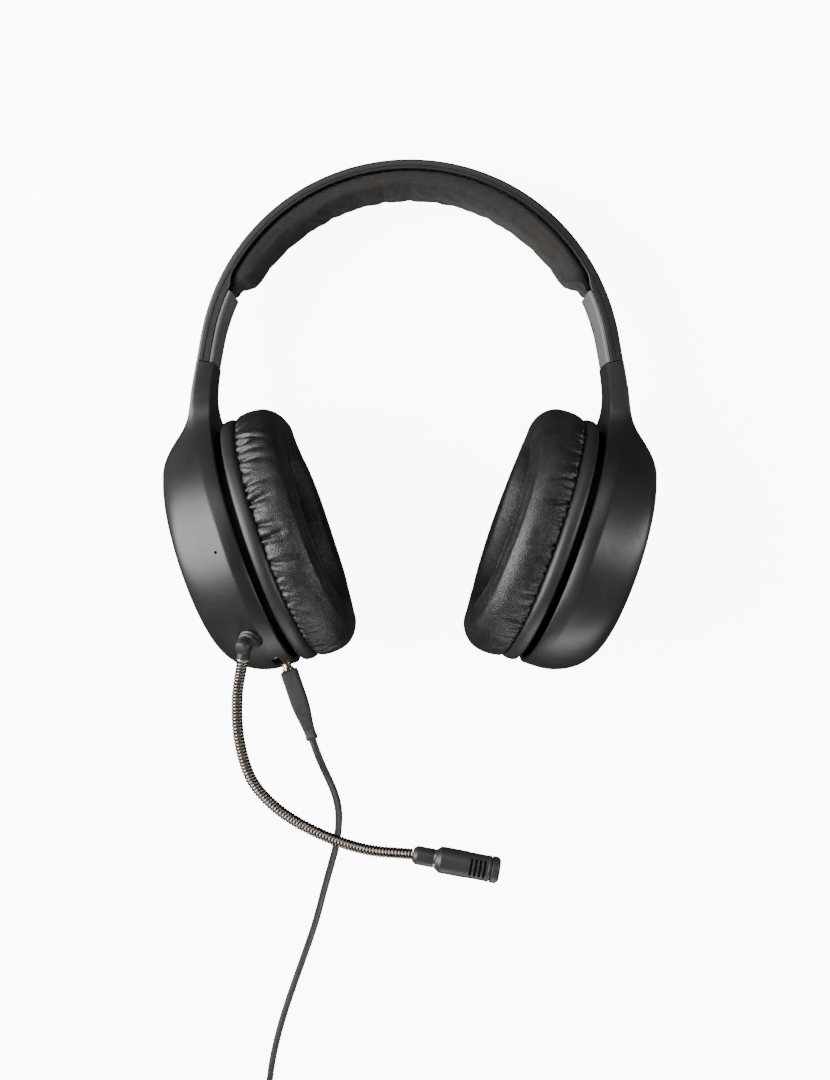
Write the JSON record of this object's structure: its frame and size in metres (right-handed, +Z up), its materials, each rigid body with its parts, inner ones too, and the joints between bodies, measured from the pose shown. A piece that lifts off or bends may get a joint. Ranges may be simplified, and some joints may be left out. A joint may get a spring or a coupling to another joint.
{
  "type": "gaming headset",
  "caption": "Over-ear headset with padded headband, sliding arms, floating cushioned cups, plug-in gooseneck microphone and detachable cable with a coiled length.",
  "frame": {"origin": "on the surface that the headset lies on, below the middle of the headset without its cable", "axes": "+X across the head from the left cup (with the microphone) to the right cup, +Y towards the headband's crown, +Z up from the surface out of the headset's front"},
  "size_m": [0.1934, 0.4563, 0.091],
  "materials": {
    "shell": "satin black moulded plastic",
    "cap": "satin dark grey plastic",
    "cover": "matte grey plastic",
    "inner": "matte black plastic",
    "steel": "bare steel",
    "gold": "gold-plated contact",
    "magnet": "nickel-plated",
    "cone": "translucent film",
    "scrim": "acoustic cloth",
    "cushion": "soft-grained black leatherette",
    "pad": "fine-grained black-brown covering",
    "board": "green circuit laminate",
    "gooseneck": "dark gunmetal wound tube",
    "capsule": "satin dark brown-grey plastic",
    "cable": "dark grey rubber-like jacket",
    "tie": "black hook-and-loop strap",
    "battery": "blue shrink wrap"
  },
  "bodies": {
    "headband": {"headband_shell": "shell", "spring_band": "steel", "headband_pad": "pad", "end_cover_left": "cover", "end_screw_left": "steel", "slider_guide_left": "cover", "end_cover_right": "cover", "end_screw_right": "steel", "slider_guide_right": "cover"},
    "arm_left": {"housing_left": "shell", "slider_strip_left": "steel", "outer_cap_left": "cap", "pivot_socket_left": "inner", "circuit_board": "board", "mic_socket": "inner", "cable_socket": "steel", "charge_port": "steel", "talkback_mic": "steel", "cable_plug_pin": "gold", "cable_plug_body": "cable", "cable_lead": "cable", "cable_tail": "cable", "cable_coil": "cable", "coil_tie": "tie", "end_plug_body": "cable", "end_plug_pin": "gold"},
    "arm_right": {"housing_right": "shell", "slider_strip_right": "steel", "outer_cap_right": "cap", "pivot_socket_right": "inner", "battery_cell": "battery"},
    "mic_plug": {"mic_plug_pin": "gold", "mic_plug_elbow": "shell", "gooseneck_lower": "gooseneck"},
    "mic_tip": {"gooseneck_upper": "gooseneck", "mic_collar": "capsule", "mic_capsule": "capsule", "mic_element": "steel", "mic_end_cap": "cap"},
    "pivot_left": {"pivot_ball_left": "steel"},
    "cup_left": {"inner_shell_left": "inner", "pivot_collar_left": "inner", "baffle_left": "inner", "driver_basket_left": "steel", "driver_magnet_left": "magnet", "driver_cone_left": "cone", "driver_scrim_left": "scrim", "ear_cushion_left": "cushion"},
    "pivot_right": {"pivot_ball_right": "steel"},
    "cup_right": {"inner_shell_right": "inner", "pivot_collar_right": "inner", "baffle_right": "inner", "driver_basket_right": "steel", "driver_magnet_right": "magnet", "driver_cone_right": "cone", "driver_scrim_right": "scrim", "ear_cushion_right": "cushion"}
  },
  "joints": [
    {"name": "slider_left", "type": "slide", "parent": "headband", "child": "arm_left", "axis": [-0.1736, -0.9686, 0.1778], "range_m": [0, 0.022]},
    {"name": "cup_tilt_left", "type": "hinge", "parent": "arm_left", "child": "pivot_left", "pos_m": [-0.06961, -0.01613, 0.04136], "axis": [-0.0824, 0.1519, 0.985], "range_deg": [-2.5, 2.5]},
    {"name": "cup_turn_left", "type": "hinge", "parent": "pivot_left", "child": "cup_left", "pos_m": [-0.06961, -0.01613, 0.04136], "axis": [-0.3256, 0.93, -0.1707], "range_deg": [-2.5, 2.5]},
    {"name": "slider_right", "type": "slide", "parent": "headband", "child": "arm_right", "axis": [0.1736, -0.9686, 0.1778], "range_m": [0, 0.022]},
    {"name": "cup_tilt_right", "type": "hinge", "parent": "arm_right", "child": "pivot_right", "pos_m": [0.06961, -0.01613, 0.04136], "axis": [-0.0824, -0.1519, -0.985], "range_deg": [-2.5, 2.5]},
    {"name": "cup_turn_right", "type": "hinge", "parent": "pivot_right", "child": "cup_right", "pos_m": [0.06961, -0.01613, 0.04136], "axis": [-0.3256, -0.93, 0.1707], "range_deg": [-2.5, 2.5]},
    {"name": "mic_swivel", "type": "hinge", "parent": "arm_left", "child": "mic_plug", "pos_m": [-0.06111, -0.04377, 0.07608], "axis": [-0.3491, -0.2394, 0.906], "range_deg": [-30, 60]},
    {"name": "mic_bend", "type": "hinge", "parent": "mic_plug", "child": "mic_tip", "pos_m": [-0.0597, -0.09718, 0.08405], "axis": [0, 0.1805, 0.9836], "range_deg": [-25, 25]}
  ]
}
